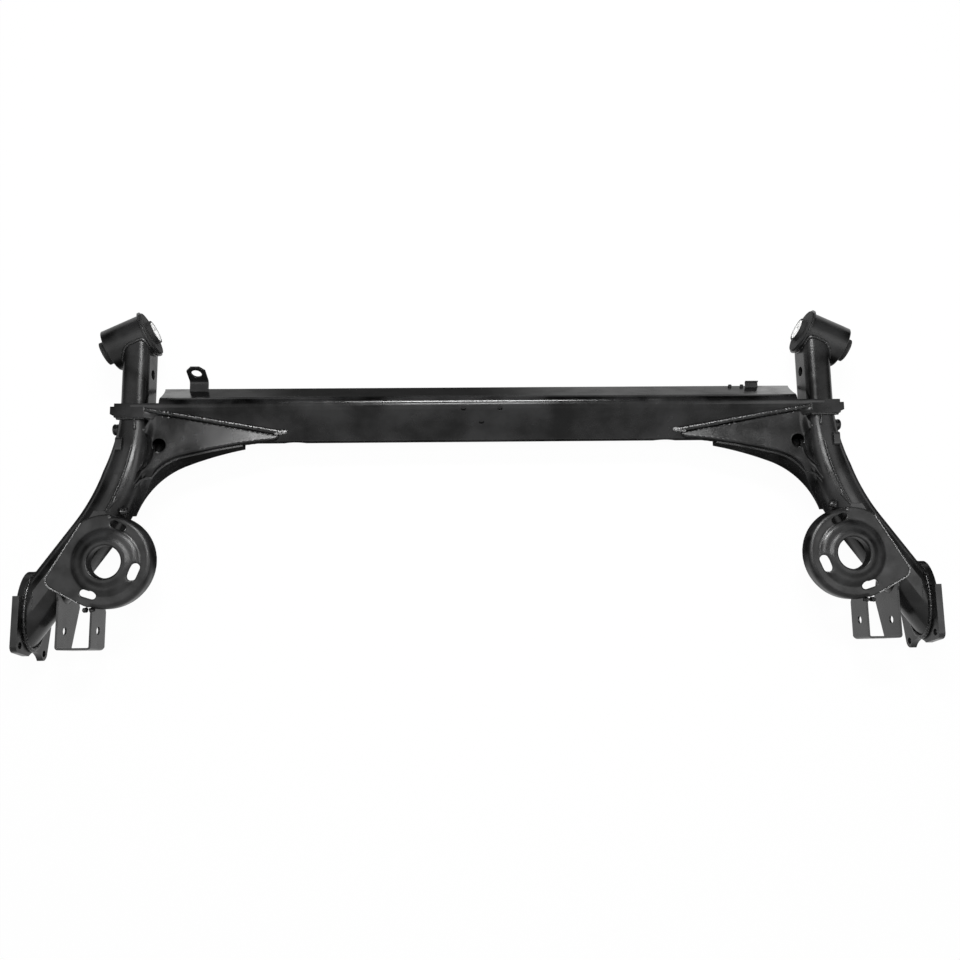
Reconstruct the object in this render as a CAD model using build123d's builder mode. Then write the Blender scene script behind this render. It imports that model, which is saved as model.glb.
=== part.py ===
# Rear twist beam axle: a pressed V section crossbeam that carries two trailing arms.
# X points to the right of the vehicle, Y to its front and Z up, in millimetres.
# The origin is under the middle of the axle, on the plane that its lowest points touch.
import os
from math import acos, asin, cos, degrees, radians, sin, tan

from build123d import *

os.makedirs("parts", exist_ok=True)

# Overall size
overall_width = 1420.0
overall_length = 558.0

# Trailing arm: a tube, flattened at the front and bent outwards at the rear
tube_od = 68.0
tube_wall = 5.0
tube_corner = 33.0
front_width = 42.0
front_height = 62.0
front_corner = 15.0
arm_inset = 158.0
bend_start_y = 110.0
bend_radius = 330.0
bend_angle = 36.0
round_from_angle = 18.0
access_hole_d = 16.0
access_hole_back = 62.0

# Bush eye and the bush pressed into it
eye_od = 68.0
eye_id = 58.0
eye_length = 65.0
eye_shift = 18.0
eye_angle = 25.0
eye_chamfer = 1.0
lip_od = 76.0
lip_t = 2.5
sleeve_wall = 2.5
rubber_flange_od = 70.0
rubber_flange_t = 3.0
neck_od = 38.0
neck_out = 11.0
neck_in = 7.0
core_od = 33.0
bush_bore_d = 12.4
core_chamfer = 0.8

# Hub plate
hub_plate_t = 10.0
hub_pcd = 113.0
hub_holes = 4
hub_pitch = 12.6
hub_hole_d = 10.5
hub_drop = 9.7
ear_radius = 11.0
weld_land = 4.0
spigot_hole_d = 32.0
lobe_length = 74.0

# Crossbeam: a V with its ridge up
beam_t = 5.5
beam_ridge_y = 123.0
beam_ridge_rise = 48.0
front_leg_angle = 24.1
front_leg_length = 96.0
rear_leg_angle = 42.7
rear_leg_length = 84.0
ridge_radius = 14.0
lip_radius = 9.0
rear_lip = 10.0
beam_hole_d = 8.5
band_setback = 2.0
band_width = 22.0
band_overhang = 4.0
band_twist = 30.0
band_root_inset = 0.3
lug_length = 6.0
lug_width = 12.0
lug_drop = 16.0
front_cut_foot = 26.0
front_cut_middle = 39.0
front_cut_top = 45.0
hole_spread = 29.0
hole_row_1 = 20.0
hole_row_2 = 46.0
notch_x = 304.0
notch_radius = 32.0
notch_depth = 5.5

# Gusset: a box in the corner between crossbeam and arm, an upper pressing set into a lower one
gusset_t = 4.0
gusset_lower_t = 3.0
gusset_strip = 12.0
gusset_overlap = 8.0
gusset_reach = 232.0
gusset_lower_reach = 167.0
gusset_crease_inward = 44.0
gusset_crease_y = 37.0
gusset_crease_radius = 32.0
crease_beam_angle = 10.7
crease_arm_angle = 50.9
gusset_hole_d = 20.0
gusset_edge_inward = 121.0
gusset_edge_y = -95.0
gusset_arm_radius = 133.0
gusset_beam_radius = 560.0
gusset_join_angle = 69.0
gusset_rear_angle = 19.0
gusset_wall_split_angle = 45.0
gusset_top_clearance = 13.0
gusset_clear = 20.0
gusset_rise_x = 0.163
gusset_rise_y = 0.040
gusset_lap = 8.0
seam_turn = 8.5
gusset_tip = 7.0
gusset_tip_rise = 0.4
gusset_hole_inward = 43.0
gusset_hole_y = 56.0
gusset_notch_inward = 11.0
gusset_notch_y = 97.0
gusset_notch_width = 16.0
gusset_notch_depth = 24.0
dent_inward = 9.0
dent_y = 46.0
dent_radius = 46.0
dent_depth = 13.0

# Spring seat: a pressed dish with a rim flange, two raised steps and a turned down collar
seat_along = 13.6
seat_inward = 54.4
seat_rim_outward = 2.5
seat_rim_forward = 0.8
seat_t = 4.0
seat_radius = 72.5
seat_rim_land = 58.0
seat_depth = 25.0
seat_rim_radius = 9.0
seat_hole_d = 49.5
seat_step_1 = 5.0
seat_step_1_outer = 52.0
seat_step_1_inner = 46.0
seat_step_2 = 4.0
seat_step_2_outer = 38.0
seat_step_2_inner = 32.0
seat_step_bend = 5.0
seat_valley_bend = 2.0
collar_drop = 18.0
slot_count = 3
slot_length = 26.0
slot_width = 10.5
slot_circle_radius = 56.2
slot_circle_shift = 9.6
slot_first_angle = 116.0
slot_pitch = 85.7
flange_end_x = 22.0
tube_flat = 1.0
tube_flat_margin = 6.0
arm_side_angle = 30.7
arm_side_reach = 66.0
plate_corner_x = 76.0
plate_corner_y = -26.0
plate_corner_radius = 14.0

# Damper bracket: one folded sheet, open to the front
bracket_t = 3.0
bracket_plate_gap = 47.5
bracket_gap = 48.0
bracket_bend = 5.0
bracket_rear_y = -263.0
bracket_pitch = 0.08
bracket_front_y = -140.0
bracket_ramp_start = 45.0
bracket_ramp_end = 38.0
bracket_lower_front = 10.0
bracket_wing_length = 56.0
bracket_top = 30.0
bracket_shoulder = 33.0
bracket_bottom = -23.0
bracket_rear_bottom = -20.0
bracket_wing_bottom = -46.0
damper_hole_d = 12.4
damper_hole_y = -231.5
damper_hole_rise = 4.0

# Boss on the outer side of the arm
boss_d = 18.0
boss_y = 86.0
boss_reach = 37.5
boss_bore_d = 10.0
boss_bore_depth = 10.0
boss_groove_d = 15.0
boss_groove_width = 3.0
boss_chamfer = 1.0

# Clip that holds a cable on the top of the arm
clip_outward = 16.5
clip_y = 57.0
clip_width = 10.0
clip_length = 22.0
clip_rise = 5.0
clip_tunnel_length = 12.0
clip_tunnel_rise = 3.0
clip_corner = 4.0

# Brake hose bracket on the left, brake line clip and studs on the right
hose_bracket_inward = 89.5
hose_bracket_width = 30.0
hose_bracket_t = 3.0
hose_bracket_drop = 22.0
hose_bracket_reach = 171.0
hose_bracket_turn = 60.0
hose_bracket_bend = 6.0
hose_tab_length = 34.0
hose_tab_corner = 8.0
hose_hole_d = 16.5
line_clip_inward = 94.5
line_clip_width = 21.0
line_clip_t = 2.0
line_clip_bend = 3.0
line_clip_reach = 5.0
line_clip_lip = 5.0
line_clip_rise = 10.0
line_stud_inwards = (130.5, 110.5)
line_stud_down_leg = 0.9
line_stud_d = 6.0
line_stud_length = 4.0
line_stud_chamfer = 1.0

# Heights and places that follow from the sizes above
arm_x = overall_width / 2 - arm_inset
eye_x = arm_x + eye_shift
gusset_inner_x = arm_x - gusset_reach
gusset_edge_x = arm_x - gusset_edge_inward
dent_x = arm_x - dent_inward
hub_inner_x = overall_width / 2 - hub_plate_t
bracket_inner_x = hub_inner_x - bracket_plate_gap - bracket_gap - 2 * bracket_t
hub_r = hub_pcd / 2
hub_first_angle = 45.0 - hub_pitch
hub_reach = hub_r * cos(radians(hub_first_angle))
arm_z = ear_radius + hub_drop + hub_reach
hub_z = arm_z - hub_drop
hub_y = ear_radius + hub_reach - overall_length / 2
eye_forward = (eye_length / 2 + lip_t) * sin(radians(eye_angle)) + lip_od / 2 * cos(radians(eye_angle))
eye_y = overall_length / 2 - eye_forward
arm_front_y = eye_y + (eye_x - arm_x) * tan(radians(eye_angle))
tube_end_x = hub_inner_x
straight_run = (tube_end_x - arm_x - bend_radius * (1 - cos(radians(bend_angle)))) / sin(radians(bend_angle))
tube_end_y = bend_start_y - bend_radius * sin(radians(bend_angle)) - straight_run * cos(radians(bend_angle))
arm_top_z = arm_z + front_height / 2
seat_under_z = arm_z + tube_od / 2 - tube_flat
bend_end_x = arm_x + bend_radius * (1 - cos(radians(bend_angle)))
bend_end_y = bend_start_y - bend_radius * sin(radians(bend_angle))
seat_x = bend_end_x + seat_along * sin(radians(bend_angle)) - seat_inward * cos(radians(bend_angle))
seat_y = bend_end_y - seat_along * cos(radians(bend_angle)) - seat_inward * sin(radians(bend_angle))
rim_x = seat_x + seat_rim_outward
rim_y = seat_y + seat_rim_forward


def arm_point(turn):
    """A point of the arm's centre line, after it has turned by this many degrees."""
    x = arm_x + bend_radius * (1 - cos(radians(turn)))
    y = bend_start_y - bend_radius * sin(radians(turn))
    return (x, y, arm_z)


def arm_plane(turn):
    """The plane square to the arm's centre line at that point."""
    across = (cos(radians(turn)), sin(radians(turn)), 0)
    along = (sin(radians(turn)), -cos(radians(turn)), 0)
    return Plane(origin=arm_point(turn), x_dir=across, z_dir=along)


eye_axis = (-cos(radians(eye_angle)), sin(radians(eye_angle)), 0)
eye_plane = Plane(origin=(eye_x, eye_y, arm_z), x_dir=(0, 0, 1), z_dir=eye_axis)


def arm_body(inset):
    """The right arm as one solid, smaller by inset on every side."""
    width = front_width - 2 * inset
    height = front_height - 2 * inset
    corner = front_corner - inset
    tube = tube_od - 2 * inset
    tube_round = tube_corner - inset
    with BuildPart() as body:
        with BuildSketch(arm_plane(0)):
            RectangleRounded(width, height, corner)
        extrude(amount=-(arm_front_y - bend_start_y))
        with BuildSketch(arm_plane(0)):
            RectangleRounded(width, height, corner)
        with BuildSketch(arm_plane(round_from_angle / 2)):
            RectangleRounded((width + tube) / 2, (height + tube) / 2, (corner + tube_round) / 2)
        with BuildSketch(arm_plane(round_from_angle)):
            RectangleRounded(tube, tube, tube_round)
        loft()
        with BuildLine(Plane.XY.offset(arm_z)) as rear_line:
            start = arm_point(round_from_angle)
            finish = arm_point(bend_angle)
            heading = (sin(radians(bend_angle)), -cos(radians(bend_angle)))
            run = straight_run + tube_od
            bend = CenterArc(
                (arm_x + bend_radius, bend_start_y), bend_radius, 180 + round_from_angle, bend_angle - round_from_angle
            )
            Line(bend @ 1, (finish[0] + run * heading[0], finish[1] + run * heading[1]))
        with BuildSketch(arm_plane(round_from_angle)):
            RectangleRounded(tube, tube, tube_round)
        sweep(path=rear_line.wires()[0])
        split(bisect_by=Plane(origin=(tube_end_x, 0, 0), z_dir=(1, 0, 0)), keep=Keep.BOTTOM)
        with BuildSketch(eye_plane):
            Circle(eye_od / 2)
        extrude(amount=eye_length, both=True, mode=Mode.SUBTRACT)
    return body.part


def write(piece, name):
    """Give a piece its name and write it."""
    piece.label = name
    export_step(piece, f"parts/{name}.step")


def write_pair(piece, name):
    """Write a piece for the right side and its mirror image for the left side."""
    write(piece, f"right_{name}")
    write(piece.mirror(Plane.YZ), f"left_{name}")


# Trailing arm, with the flat that the spring seat rests on and the access hole in its inner wall
arm_full = arm_body(0)
arm_bore = arm_body(tube_wall)
seat_flat_front = rim_y + seat_radius + tube_flat_margin
seat_flat_rear = rim_y - seat_radius - tube_flat_margin
with BuildPart() as arm_outer:
    add(arm_full)
    with BuildSketch(Plane.XY.offset(seat_under_z)):
        with Locations((arm_x, (seat_flat_front + seat_flat_rear) / 2)):
            Rectangle(4 * tube_od, seat_flat_front - seat_flat_rear)
    extrude(amount=2 * tube_flat + tube_wall, mode=Mode.SUBTRACT)

with BuildPart() as trailing_arm:
    add(arm_outer.part)
    add(arm_bore, mode=Mode.SUBTRACT)
    with BuildSketch(Plane.YZ.offset(arm_x - front_width)):
        with Locations((arm_front_y - access_hole_back, arm_z)):
            Circle(access_hole_d / 2)
    extrude(amount=front_width, mode=Mode.SUBTRACT)
write_pair(trailing_arm.part, "trailing_arm")

# Bush eye
with BuildPart() as bush_eye:
    with BuildSketch(eye_plane):
        Circle(eye_od / 2)
        Circle(eye_id / 2, mode=Mode.SUBTRACT)
    extrude(amount=eye_length / 2, both=True)
    chamfer(bush_eye.edges().filter_by(GeomType.CIRCLE), eye_chamfer)
write_pair(bush_eye.part, "bush_eye")

# Bush: steel sleeve with a turned out lip, bonded rubber and a solid aluminium core
eye_end = eye_length / 2
with BuildPart() as bush_sleeve:
    with BuildSketch(eye_plane.offset(-eye_end)):
        Circle(eye_id / 2)
        Circle(eye_id / 2 - sleeve_wall, mode=Mode.SUBTRACT)
    extrude(amount=eye_length)
    with BuildSketch(eye_plane.offset(eye_end)):
        Circle(lip_od / 2)
        Circle(eye_id / 2 - sleeve_wall, mode=Mode.SUBTRACT)
    extrude(amount=lip_t)
write_pair(bush_sleeve.part, "bush_sleeve")

with BuildPart() as bush_rubber:
    with BuildSketch(eye_plane.offset(-eye_end)):
        Circle(eye_id / 2 - sleeve_wall)
    extrude(amount=eye_length + lip_t)
    with BuildSketch(eye_plane.offset(eye_end + lip_t)):
        Circle(rubber_flange_od / 2)
    extrude(amount=rubber_flange_t)
    with BuildSketch(eye_plane.offset(-eye_end - neck_out)):
        Circle(neck_od / 2)
    extrude(amount=neck_out)
    with BuildSketch(eye_plane.offset(eye_end + lip_t + rubber_flange_t)):
        Circle(neck_od / 2)
    extrude(amount=neck_in)
    with BuildSketch(eye_plane.offset(-eye_end - neck_out)):
        Circle(core_od / 2)
    extrude(amount=eye_length + neck_out + lip_t + rubber_flange_t + neck_in, mode=Mode.SUBTRACT)
write_pair(bush_rubber.part, "bush_rubber")

with BuildPart() as bush_core:
    with BuildSketch(eye_plane.offset(-eye_end - neck_out)):
        Circle(core_od / 2)
        Circle(bush_bore_d / 2, mode=Mode.SUBTRACT)
    extrude(amount=eye_length + neck_out + lip_t + rubber_flange_t + neck_in)
    chamfer(bush_core.edges().filter_by(GeomType.CIRCLE), core_chamfer)
write_pair(bush_core.part, "bush_core")

# Hub plate: a thick flat plate with four ears, welded square across the end of the arm
tube_end_half = tube_od / 2 / sin(radians(bend_angle))
with BuildPart() as hub_plate:
    with BuildSketch(Plane.YZ.offset(hub_inner_x)):
        with Locations((hub_y, hub_z)):
            with PolarLocations(hub_r, hub_holes, start_angle=hub_first_angle):
                Circle(ear_radius)
        with Locations((tube_end_y, arm_z)):
            Ellipse(tube_end_half + weld_land, tube_od / 2 + weld_land)
        make_hull()
        lobe_rear = hub_y - hub_reach * tan(radians(hub_first_angle))
        lobe_height = hub_reach + ear_radius - hub_drop
        with Locations((lobe_rear + lobe_length / 2, arm_z + lobe_height / 2)):
            Rectangle(lobe_length, lobe_height)
        with Locations((tube_end_y - tube_end_half - weld_land - tube_od / 2, hub_z)):
            Circle(tube_od / 2, mode=Mode.SUBTRACT)
    extrude(amount=hub_plate_t)
    with BuildSketch(Plane.YZ.offset(hub_inner_x)):
        with Locations((hub_y, hub_z)):
            Circle(spigot_hole_d / 2)
            with PolarLocations(hub_r, hub_holes, start_angle=hub_first_angle):
                Circle(hub_hole_d / 2)
    extrude(amount=hub_plate_t, mode=Mode.SUBTRACT)
write_pair(hub_plate.part, "hub_plate")

# Crossbeam: one V section sheet whose ridge laps over both arms as a flat band with a lug
front_foot = (
    beam_ridge_y + front_leg_length * sin(radians(front_leg_angle)),
    arm_z + beam_ridge_rise - front_leg_length * cos(radians(front_leg_angle)),
)
rear_foot = (
    beam_ridge_y - rear_leg_length * sin(radians(rear_leg_angle)),
    arm_z + beam_ridge_rise - rear_leg_length * cos(radians(rear_leg_angle)),
)
ridge = (beam_ridge_y, arm_z + beam_ridge_rise)
sheet_points = (front_foot, ridge, rear_foot, (rear_foot[0], rear_foot[1] - rear_lip))
with BuildPart() as v_sheet:
    with BuildSketch(Plane.YZ):
        with BuildLine():
            FilletPolyline(*sheet_points, radius=[ridge_radius, lip_radius])
            offset(amount=beam_t, side=Side.LEFT)
        make_face()
    extrude(amount=arm_x, both=True)

with BuildPart() as v_filled:
    with BuildSketch(Plane.YZ):
        with BuildLine():
            outer = FilletPolyline(*sheet_points, radius=[ridge_radius, lip_radius])
            Line(outer @ 1, outer @ 0)
        make_face()
    extrude(amount=arm_x, both=True)

band_front_y = beam_ridge_y - band_setback
band_middle_y = band_front_y - band_width / 2
band_z = arm_top_z + beam_t / 2
band_flat_x = arm_x - front_width / 2
band_start_x = band_flat_x - band_twist
band_end_x = arm_x + front_width / 2 + band_overhang
ridge_half_angle = (front_leg_angle + rear_leg_angle) / 2
ridge_tangent = ridge_radius / tan(radians(ridge_half_angle))
leg_plane = Plane(
    origin=(0, *ridge),
    x_dir=(1, 0, 0),
    z_dir=(0, -cos(radians(rear_leg_angle)), sin(radians(rear_leg_angle))),
)
leg_section = Plane(
    origin=(band_start_x, *ridge),
    x_dir=(0, -sin(radians(rear_leg_angle)), -cos(radians(rear_leg_angle))),
    z_dir=(1, 0, 0),
)
with BuildPart() as right_band:
    # The sheet twists from the slope of the rear leg until it lies flat on the arm.
    # It grows out of the leg, so its first section is a little smaller than the leg is thick.
    with BuildSketch(leg_section):
        with Locations((ridge_tangent + band_width / 2, beam_t / 2)):
            Rectangle(band_width - 2 * band_root_inset, beam_t - 2 * band_root_inset)
    with BuildSketch(Plane.YZ.offset(band_flat_x)):
        with Locations(Location((band_middle_y, band_z), 180)):
            Rectangle(band_width, beam_t)
    loft()
    with BuildSketch(Plane.YZ.offset(band_flat_x)):
        with Locations((band_middle_y, band_z)):
            Rectangle(band_width, beam_t)
    extrude(amount=band_end_x - band_flat_x)
    with BuildSketch(Plane.YZ.offset(band_end_x)):
        with Locations((band_middle_y, band_z + beam_t / 2 - lug_drop / 2)):
            Rectangle(lug_width, lug_drop)
    extrude(amount=lug_length)
    add(arm_outer.part, mode=Mode.SUBTRACT)

with BuildPart() as front_cut:
    # Cuts the front leg back from the arm, up to the ridge.
    with BuildSketch(Plane.XZ.offset(-band_front_y)):
        with BuildLine():
            foot = (arm_x - front_cut_foot, front_foot[1] - beam_t)
            middle = (arm_x - front_cut_middle, (foot[1] + ridge[1]) / 2)
            top = (arm_x - front_cut_top, ridge[1])
            ThreePointArc(foot, middle, top)
            Polyline(top, (arm_x + beam_t, ridge[1]), (arm_x + beam_t, foot[1]), foot)
        make_face()
    extrude(amount=-(front_foot[0] - band_front_y + beam_t))

with BuildPart() as crossbeam:
    add(v_sheet.part)
    add(front_cut.part, mode=Mode.SUBTRACT)
    add(front_cut.part.mirror(Plane.YZ), mode=Mode.SUBTRACT)
    add(arm_outer.part, mode=Mode.SUBTRACT)
    add(arm_outer.part.mirror(Plane.YZ), mode=Mode.SUBTRACT)
    add(right_band.part)
    add(right_band.part.mirror(Plane.YZ))
    with BuildSketch(leg_plane):
        with Locations((-hole_spread, -hole_row_1), (hole_spread, -hole_row_1), (0, -hole_row_2)):
            Circle(beam_hole_d / 2)
        notch_y = -rear_leg_length - rear_lip * cos(radians(rear_leg_angle)) + notch_depth - notch_radius
        with Locations((-notch_x, notch_y), (notch_x, notch_y)):
            Circle(notch_radius)
    extrude(amount=-2 * beam_t - rear_lip, mode=Mode.SUBTRACT)
write(crossbeam.part, "crossbeam")


# Gusset: its top is a plane that rises slowly outwards, its rear edge is turned down as a flange
tip_y = beam_ridge_y - (beam_ridge_rise - gusset_tip_rise) * tan(radians(rear_leg_angle))
gusset_plane = Plane(
    origin=(gusset_inner_x, tip_y, arm_z + gusset_tip_rise),
    x_dir=(1, 0, gusset_rise_x),
    z_dir=(-gusset_rise_x, -gusset_rise_y, 1),
)
gusset_top_z = arm_z + gusset_tip_rise
dent_top_z = gusset_top_z + gusset_rise_x * (dent_x - gusset_inner_x) + gusset_rise_y * (dent_y - tip_y)
dent_centre = (dent_x, dent_y, dent_top_z + dent_radius - dent_depth)


def gusset_body(inset, clear):
    """The right gusset's box as a solid, its walls and top smaller by inset, and open past beam and arm by clear."""
    bottom_z = rear_foot[1] - beam_t - gusset_lower_t
    top_z = arm_top_z + gusset_top_clearance
    edge_shift = gusset_arm_radius - gusset_beam_radius
    beam_centre_x = gusset_edge_x + edge_shift * cos(radians(gusset_join_angle))
    beam_centre_y = gusset_edge_y + edge_shift * sin(radians(gusset_join_angle))
    inner_x = gusset_inner_x - clear
    tip_angle = degrees(acos((inner_x + gusset_tip - beam_centre_x) / (gusset_beam_radius + inset)))
    seam_radius = bend_radius + gusset_lap - clear
    seam_centre = (arm_x + bend_radius, bend_start_y)
    rear_y = gusset_edge_y + (gusset_arm_radius + inset) * sin(radians(gusset_rear_angle))
    seam_rear_turn = degrees(asin((bend_start_y - rear_y) / seam_radius))
    # The upper edge has a corner where the side along the beam meets the side along the arm.
    corner_turn = (crease_arm_angle + crease_beam_angle) / 2
    corner_shift = inset / cos(radians((crease_arm_angle - crease_beam_angle) / 2))
    corner_x = arm_x - gusset_crease_inward + corner_shift * sin(radians(corner_turn))
    corner_y = gusset_crease_y + corner_shift * cos(radians(corner_turn))
    crease_rear_x = corner_x + (corner_y - rear_y) / tan(radians(crease_arm_angle))
    crease_inner_y = corner_y + (corner_x - inner_x) * tan(radians(crease_beam_angle))
    with BuildPart() as body:
        with BuildSketch(Plane.XY.offset(top_z)):
            with BuildLine():
                crease = FilletPolyline(
                    (crease_rear_x, rear_y), (corner_x, corner_y), (inner_x + gusset_tip, crease_inner_y),
                    radius=gusset_crease_radius + inset,
                )
                seam = CenterArc(seam_centre, seam_radius, 180 + seam_turn, seam_rear_turn - seam_turn)
                Polyline(crease @ 1, (inner_x, beam_ridge_y), ((seam @ 0).X, beam_ridge_y), seam @ 0)
                Line(seam @ 1, crease @ 0)
            make_face()
        with BuildSketch(Plane.XY.offset(bottom_z)):
            with BuildLine():
                edge_1 = CenterArc(
                    (gusset_edge_x, gusset_edge_y), gusset_arm_radius + inset, gusset_rear_angle,
                    gusset_wall_split_angle - gusset_rear_angle,
                )
                CenterArc(
                    (gusset_edge_x, gusset_edge_y), gusset_arm_radius + inset, gusset_wall_split_angle,
                    gusset_join_angle - gusset_wall_split_angle,
                )
                edge_2 = CenterArc(
                    (beam_centre_x, beam_centre_y), gusset_beam_radius + inset, gusset_join_angle,
                    tip_angle - gusset_join_angle,
                )
                seam = CenterArc(seam_centre, seam_radius, 180 + seam_turn, seam_rear_turn - seam_turn)
                Polyline(edge_2 @ 1, (inner_x, beam_ridge_y), ((seam @ 0).X, beam_ridge_y), seam @ 0)
                Line(seam @ 1, edge_1 @ 0)
            make_face()
        loft(ruled=True)
        split(bisect_by=gusset_plane.offset(-inset), keep=Keep.BOTTOM)
    return body.part


def dented_gusset_body(inset, clear):
    """The same solid with the round dent in its top."""
    with BuildPart() as body:
        add(gusset_body(inset, clear))
        with Locations(dent_centre):
            Sphere(dent_radius + inset, mode=Mode.SUBTRACT)
    return body.part


with BuildPart() as seat_space:
    with BuildSketch(Plane.XY):
        with Locations((rim_x, rim_y)):
            Circle(seat_radius)
    extrude(amount=2 * arm_z)

with BuildPart() as gusset:
    add(dented_gusset_body(gusset_lower_t, 0))
    add(dented_gusset_body(gusset_lower_t + gusset_t, gusset_clear), mode=Mode.SUBTRACT)
    split(bisect_by=gusset_plane.offset(-gusset_strip - gusset_overlap), keep=Keep.TOP)
    add(v_filled.part, mode=Mode.SUBTRACT)
    add(right_band.part, mode=Mode.SUBTRACT)
    add(seat_space.part, mode=Mode.SUBTRACT)
    add(arm_outer.part, mode=Mode.SUBTRACT)
    with BuildSketch(Plane.XY.offset(arm_z)):
        with Locations((arm_x - gusset_hole_inward, gusset_hole_y)):
            Circle(gusset_hole_d / 2)
        with BuildLine():
            gusset_notch_x = arm_x - gusset_notch_inward
            Polyline(
                (gusset_notch_x + gusset_t, gusset_notch_y),
                (gusset_notch_x - gusset_notch_width, gusset_notch_y),
                (gusset_notch_x, gusset_notch_y - gusset_notch_depth),
                (gusset_notch_x + gusset_t, gusset_notch_y),
            )
        make_face()
    extrude(amount=front_height, mode=Mode.SUBTRACT)
write_pair(gusset.part, "gusset_upper")

# The lower pressing laps round the strip of the upper one, and its floor laps under the crossbeam's rear edge.
gusset_floor_plane = Plane.XY.offset(rear_foot[1] - beam_t)
with BuildPart() as gusset_floor:
    add(gusset_body(0, 0))
    split(bisect_by=gusset_floor_plane, keep=Keep.BOTTOM)
    split(bisect_by=Plane(origin=(0, rear_foot[0], 0), z_dir=(0, 1, 0)), keep=Keep.BOTTOM)

with BuildPart() as gusset_lower:
    add(gusset_body(0, 0))
    split(bisect_by=gusset_floor_plane, keep=Keep.TOP)
    split(bisect_by=gusset_plane.offset(-gusset_strip), keep=Keep.BOTTOM)
    add(gusset_body(gusset_lower_t, gusset_clear), mode=Mode.SUBTRACT)
    add(gusset_body(gusset_lower_t, 0), mode=Mode.SUBTRACT)
    add(gusset_floor.part)
    split(bisect_by=Plane(origin=(arm_x - gusset_lower_reach, 0, 0), z_dir=(1, 0, 0)), keep=Keep.TOP)
    add(crossbeam.part, mode=Mode.SUBTRACT)
    add(seat_space.part, mode=Mode.SUBTRACT)
    add(arm_outer.part, mode=Mode.SUBTRACT)
write_pair(gusset_lower.part, "gusset_lower")

# Spring seat: the dish is revolved, its rim about a centre of its own, and its side over the arm is a flat plate
seat_section = Plane(origin=(seat_x, seat_y, seat_under_z), x_dir=(1, 0, 0), z_dir=(0, -1, 0))
rim_section = Plane(origin=(rim_x, rim_y, seat_under_z), x_dir=(1, 0, 0), z_dir=(0, -1, 0))
seat_top = Plane(origin=(seat_x, seat_y, seat_under_z), x_dir=(1, 0, 0), z_dir=(0, 0, 1))
arm_side = (cos(radians(arm_side_angle)), sin(radians(arm_side_angle)))
step_top_1 = seat_t + seat_step_1
step_top_2 = step_top_1 + seat_step_2
flange_turn_y = (tube_od / 2 - arm_side[0] * flange_end_x) / arm_side[1]
with BuildSketch(seat_top) as arm_side_area:
    with BuildLine():
        Polyline(
            (flange_end_x, -2 * seat_radius),
            (flange_end_x, flange_turn_y),
            (flange_end_x - 2 * seat_radius * arm_side[1], flange_turn_y + 2 * seat_radius * arm_side[0]),
            (2 * seat_radius, 2 * seat_radius),
            (2 * seat_radius, -2 * seat_radius),
            (flange_end_x, -2 * seat_radius),
        )
    make_face()

with BuildPart() as spring_seat:
    with BuildSketch(rim_section):
        with BuildLine():
            FilletPolyline(
                (seat_radius, seat_t - seat_depth),
                (seat_radius, seat_t),
                (seat_rim_land, seat_t),
                radius=seat_rim_radius,
            )
            offset(amount=seat_t, side=Side.LEFT)
        make_face()
    revolve(axis=Axis((rim_x, rim_y, 0), (0, 0, 1)), revolution_arc=360)
    with BuildSketch(seat_section):
        with BuildLine():
            FilletPolyline(
                (seat_rim_land + seat_rim_outward, seat_t),
                (seat_step_1_outer, seat_t),
                (seat_step_1_inner, step_top_1),
                (seat_step_2_outer, step_top_1),
                (seat_step_2_inner, step_top_2),
                (seat_hole_d / 2, step_top_2),
                (seat_hole_d / 2, step_top_2 - collar_drop),
                radius=[
                    seat_valley_bend,
                    seat_step_bend,
                    seat_valley_bend,
                    seat_step_bend,
                    seat_step_bend,
                ],
            )
            offset(amount=seat_t, side=Side.LEFT)
        make_face()
    revolve(axis=Axis((seat_x, seat_y, 0), (0, 0, 1)), revolution_arc=360)
    # No rim on the side of the arm, where the plate runs on flat.
    with BuildSketch(seat_top.offset(-seat_depth)):
        add(arm_side_area.sketch_local)
        Circle(seat_step_1_outer + seat_valley_bend, mode=Mode.SUBTRACT)
    extrude(amount=2 * seat_depth, mode=Mode.SUBTRACT)
    with BuildSketch(seat_top):
        with Locations((seat_rim_outward, seat_rim_forward)):
            Circle(seat_radius)
        with Locations((plate_corner_x, plate_corner_y)):
            Circle(plate_corner_radius)
        make_hull()
        add(arm_side_area.sketch_local, mode=Mode.INTERSECT)
        Circle(seat_step_1_outer, mode=Mode.SUBTRACT)
        cut_distance = arm_side_reach + seat_radius
        with Locations(Location((cut_distance * arm_side[0], cut_distance * arm_side[1]), arm_side_angle)):
            Rectangle(2 * seat_radius, 4 * seat_radius, mode=Mode.SUBTRACT)
    extrude(amount=seat_t)
    with BuildSketch(seat_top.offset(-seat_t)):
        with Locations((slot_circle_shift * arm_side[0], slot_circle_shift * arm_side[1])):
            with PolarLocations(
                slot_circle_radius, slot_count, slot_first_angle, (slot_count - 1) * slot_pitch, endpoint=True
            ):
                SlotOverall(slot_length, slot_width, rotation=90)
    extrude(amount=4 * seat_t, mode=Mode.SUBTRACT)
    add(arm_outer.part, mode=Mode.SUBTRACT)
write_pair(spring_seat.part, "spring_seat")

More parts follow.
